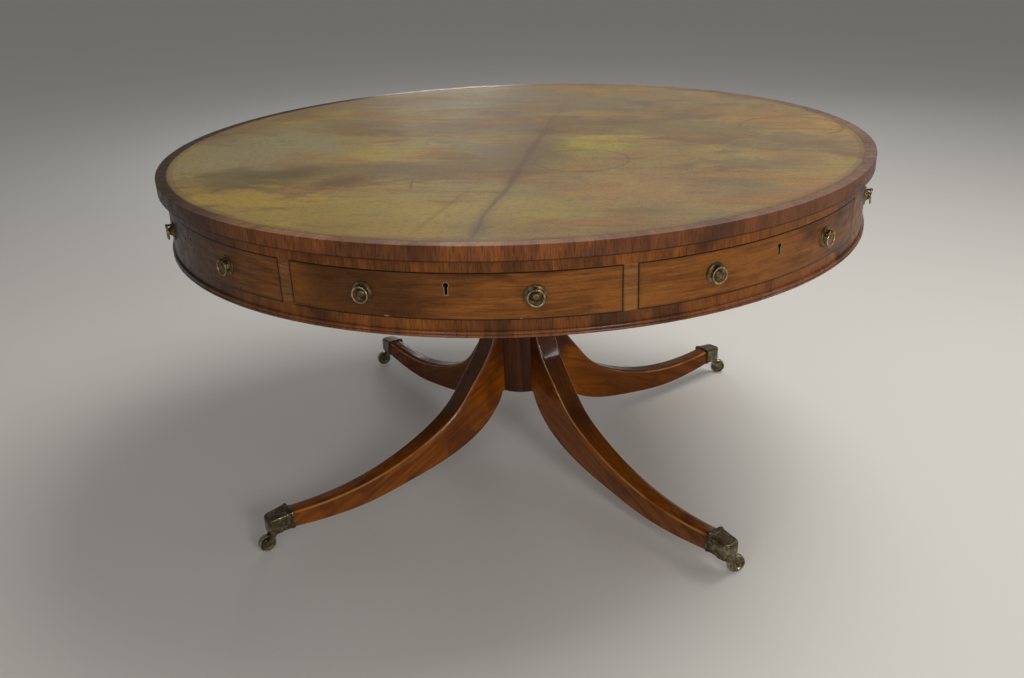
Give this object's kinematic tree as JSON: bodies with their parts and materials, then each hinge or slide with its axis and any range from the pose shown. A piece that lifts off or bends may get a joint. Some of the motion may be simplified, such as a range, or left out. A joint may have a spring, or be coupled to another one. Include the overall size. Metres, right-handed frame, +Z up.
{
  "type": "drum table",
  "caption": "Round library table: a drum with drawers and a leather top turns on a column with four curved legs on castors.",
  "frame": {"origin": "on the floor under the centre of the column", "axes": "+Z up; -Y out of the first drawer; the legs stand on the diagonals between X and Y"},
  "size_m": [1.4998, 1.4998, 0.77],
  "materials": {
    "writing_leather": "satin, mottled olive",
    "crossbanded_mahogany": "polished, cross grain",
    "front_mahogany": "polished, grain along the front",
    "dark_mahogany": "polished, dark",
    "carcass_wood": "plain, unpolished",
    "drawer_lining": "plain oak",
    "old_brass": "dark patina, worn edges",
    "iron": "dull"
  },
  "bodies": {
    "base": {"column": "dark_mahogany", "bearing_block": "dark_mahogany", "pivot_pin": "iron", "leg_plate": "iron", "base_screws": "iron", "leg_front_right": "dark_mahogany", "leg_back_right": "dark_mahogany", "leg_back_left": "dark_mahogany", "leg_front_left": "dark_mahogany", "castor_box_front_right": "old_brass", "castor_box_back_right": "old_brass", "castor_box_back_left": "old_brass", "castor_box_front_left": "old_brass"},
    "drum": {"top_board": "carcass_wood", "top_crossbanding": "crossbanded_mahogany", "leather_top": "writing_leather", "frieze_rails": "crossbanded_mahogany", "frieze_uprights": "crossbanded_mahogany", "bead_moulding": "crossbanded_mahogany", "drum_bottom": "carcass_wood", "centre_block": "carcass_wood", "drawer_guides": "carcass_wood", "dummy_fronts": "front_mahogany", "dummy_brassware": "old_brass"},
    "drawer_1": {"drawer_1_front": "front_mahogany", "drawer_1_box": "drawer_lining", "drawer_1_brassware": "old_brass"},
    "drawer_2": {"drawer_2_front": "front_mahogany", "drawer_2_box": "drawer_lining", "drawer_2_brassware": "old_brass"},
    "drawer_3": {"drawer_3_front": "front_mahogany", "drawer_3_box": "drawer_lining", "drawer_3_brassware": "old_brass"},
    "drawer_4": {"drawer_4_front": "front_mahogany", "drawer_4_box": "drawer_lining", "drawer_4_brassware": "old_brass"},
    "drawer_1_ring_left": {"drawer_1_ring_left": "old_brass"},
    "drawer_1_ring_right": {"drawer_1_ring_right": "old_brass"},
    "drawer_2_ring_left": {"drawer_2_ring_left": "old_brass"},
    "drawer_2_ring_right": {"drawer_2_ring_right": "old_brass"},
    "drawer_3_ring_left": {"drawer_3_ring_left": "old_brass"},
    "drawer_3_ring_right": {"drawer_3_ring_right": "old_brass"},
    "drawer_4_ring_left": {"drawer_4_ring_left": "old_brass"},
    "drawer_4_ring_right": {"drawer_4_ring_right": "old_brass"},
    "dummy_1_ring_left": {"dummy_1_ring_left": "old_brass"},
    "dummy_1_ring_right": {"dummy_1_ring_right": "old_brass"},
    "dummy_2_ring_left": {"dummy_2_ring_left": "old_brass"},
    "dummy_2_ring_right": {"dummy_2_ring_right": "old_brass"},
    "dummy_3_ring_left": {"dummy_3_ring_left": "old_brass"},
    "dummy_3_ring_right": {"dummy_3_ring_right": "old_brass"},
    "dummy_4_ring_left": {"dummy_4_ring_left": "old_brass"},
    "dummy_4_ring_right": {"dummy_4_ring_right": "old_brass"},
    "fork_front_right": {"castor_fork_front_right": "old_brass"},
    "wheel_front_right": {"castor_wheel_front_right": "old_brass"},
    "fork_back_right": {"castor_fork_back_right": "old_brass"},
    "wheel_back_right": {"castor_wheel_back_right": "old_brass"},
    "fork_back_left": {"castor_fork_back_left": "old_brass"},
    "wheel_back_left": {"castor_wheel_back_left": "old_brass"},
    "fork_front_left": {"castor_fork_front_left": "old_brass"},
    "wheel_front_left": {"castor_wheel_front_left": "old_brass"}
  },
  "joints": [
    {"name": "drum_spin", "type": "hinge", "parent": "base", "child": "drum", "pos_m": [0, 0, 0.62], "axis": [0, 0, 1], "continuous": true},
    {"name": "drawer_1_slide", "type": "slide", "parent": "drum", "child": "drawer_1", "axis": [0, -1, 0], "range_m": [0, 0.3]},
    {"name": "drawer_2_slide", "type": "slide", "parent": "drum", "child": "drawer_2", "axis": [1, 0, 0], "range_m": [0, 0.3]},
    {"name": "drawer_3_slide", "type": "slide", "parent": "drum", "child": "drawer_3", "axis": [0, 1, 0], "range_m": [0, 0.3]},
    {"name": "drawer_4_slide", "type": "slide", "parent": "drum", "child": "drawer_4", "axis": [-1, 0, 0], "range_m": [0, 0.3]},
    {"name": "drawer_1_ring_left_swing", "type": "hinge", "parent": "drawer_1", "child": "drawer_1_ring_left", "pos_m": [-0.13967, -0.73342, 0.69575], "axis": [-0.9823, 0.1871, 0], "range_deg": [-8, 95]},
    {"name": "drawer_1_ring_right_swing", "type": "hinge", "parent": "drawer_1", "child": "drawer_1_ring_right", "pos_m": [0.13967, -0.73342, 0.69575], "axis": [-0.9823, -0.1871, 0], "range_deg": [-8, 95]},
    {"name": "drawer_2_ring_left_swing", "type": "hinge", "parent": "drawer_2", "child": "drawer_2_ring_left", "pos_m": [0.73342, -0.13967, 0.69575], "axis": [-0.1871, -0.9823, 0], "range_deg": [-8, 95]},
    {"name": "drawer_2_ring_right_swing", "type": "hinge", "parent": "drawer_2", "child": "drawer_2_ring_right", "pos_m": [0.73342, 0.13967, 0.69575], "axis": [0.1871, -0.9823, 0], "range_deg": [-8, 95]},
    {"name": "drawer_3_ring_left_swing", "type": "hinge", "parent": "drawer_3", "child": "drawer_3_ring_left", "pos_m": [0.13967, 0.73342, 0.69575], "axis": [0.9823, -0.1871, 0], "range_deg": [-8, 95]},
    {"name": "drawer_3_ring_right_swing", "type": "hinge", "parent": "drawer_3", "child": "drawer_3_ring_right", "pos_m": [-0.13967, 0.73342, 0.69575], "axis": [0.9823, 0.1871, 0], "range_deg": [-8, 95]},
    {"name": "drawer_4_ring_left_swing", "type": "hinge", "parent": "drawer_4", "child": "drawer_4_ring_left", "pos_m": [-0.73342, 0.13967, 0.69575], "axis": [0.1871, 0.9823, 0], "range_deg": [-8, 95]},
    {"name": "drawer_4_ring_right_swing", "type": "hinge", "parent": "drawer_4", "child": "drawer_4_ring_right", "pos_m": [-0.73342, -0.13967, 0.69575], "axis": [-0.1871, 0.9823, 0], "range_deg": [-8, 95]},
    {"name": "dummy_1_ring_left_swing", "type": "hinge", "parent": "drum", "child": "dummy_1_ring_left", "pos_m": [0.41984, -0.61737, 0.69575], "axis": [-0.8269, -0.5623, 0], "range_deg": [-8, 95]},
    {"name": "dummy_1_ring_right_swing", "type": "hinge", "parent": "drum", "child": "dummy_1_ring_right", "pos_m": [0.61737, -0.41984, 0.69575], "axis": [-0.5623, -0.8269, 0], "range_deg": [-8, 95]},
    {"name": "dummy_2_ring_left_swing", "type": "hinge", "parent": "drum", "child": "dummy_2_ring_left", "pos_m": [0.61737, 0.41984, 0.69575], "axis": [0.5623, -0.8269, 0], "range_deg": [-8, 95]},
    {"name": "dummy_2_ring_right_swing", "type": "hinge", "parent": "drum", "child": "dummy_2_ring_right", "pos_m": [0.41984, 0.61737, 0.69575], "axis": [0.8269, -0.5623, 0], "range_deg": [-8, 95]},
    {"name": "dummy_3_ring_left_swing", "type": "hinge", "parent": "drum", "child": "dummy_3_ring_left", "pos_m": [-0.41984, 0.61737, 0.69575], "axis": [0.8269, 0.5623, 0], "range_deg": [-8, 95]},
    {"name": "dummy_3_ring_right_swing", "type": "hinge", "parent": "drum", "child": "dummy_3_ring_right", "pos_m": [-0.61737, 0.41984, 0.69575], "axis": [0.5623, 0.8269, 0], "range_deg": [-8, 95]},
    {"name": "dummy_4_ring_left_swing", "type": "hinge", "parent": "drum", "child": "dummy_4_ring_left", "pos_m": [-0.61737, -0.41984, 0.69575], "axis": [-0.5623, 0.8269, 0], "range_deg": [-8, 95]},
    {"name": "dummy_4_ring_right_swing", "type": "hinge", "parent": "drum", "child": "dummy_4_ring_right", "pos_m": [-0.41984, -0.61737, 0.69575], "axis": [-0.8269, 0.5623, 0], "range_deg": [-8, 95]},
    {"name": "castor_swivel_front_right", "type": "hinge", "parent": "base", "child": "fork_front_right", "pos_m": [0.46881, -0.46881, 0.05], "axis": [0, 0, 1], "continuous": true},
    {"name": "castor_roll_front_right", "type": "hinge", "parent": "fork_front_right", "child": "wheel_front_right", "pos_m": [0.48841, -0.45882, 0.019], "axis": [-0.454, 0.891, 0], "continuous": true},
    {"name": "castor_swivel_back_right", "type": "hinge", "parent": "base", "child": "fork_back_right", "pos_m": [0.46881, 0.46881, 0.05], "axis": [0, 0, 1], "continuous": true},
    {"name": "castor_roll_back_right", "type": "hinge", "parent": "fork_back_right", "child": "wheel_back_right", "pos_m": [0.4906, 0.47187, 0.019], "axis": [-0.1392, 0.9903, 0], "continuous": true},
    {"name": "castor_swivel_back_left", "type": "hinge", "parent": "base", "child": "fork_back_left", "pos_m": [-0.46881, 0.46881, 0.05], "axis": [0, 0, 1], "continuous": true},
    {"name": "castor_roll_back_left", "type": "hinge", "parent": "fork_back_left", "child": "wheel_back_left", "pos_m": [-0.48786, 0.45781, 0.019], "axis": [0.5, -0.866, 0], "continuous": true},
    {"name": "castor_swivel_front_left", "type": "hinge", "parent": "base", "child": "fork_front_left", "pos_m": [-0.46881, -0.46881, 0.05], "axis": [0, 0, 1], "continuous": true},
    {"name": "castor_roll_front_left", "type": "hinge", "parent": "fork_front_left", "child": "wheel_front_left", "pos_m": [-0.48437, -0.48437, 0.019], "axis": [0.7071, -0.7071, 0], "continuous": true}
  ]
}
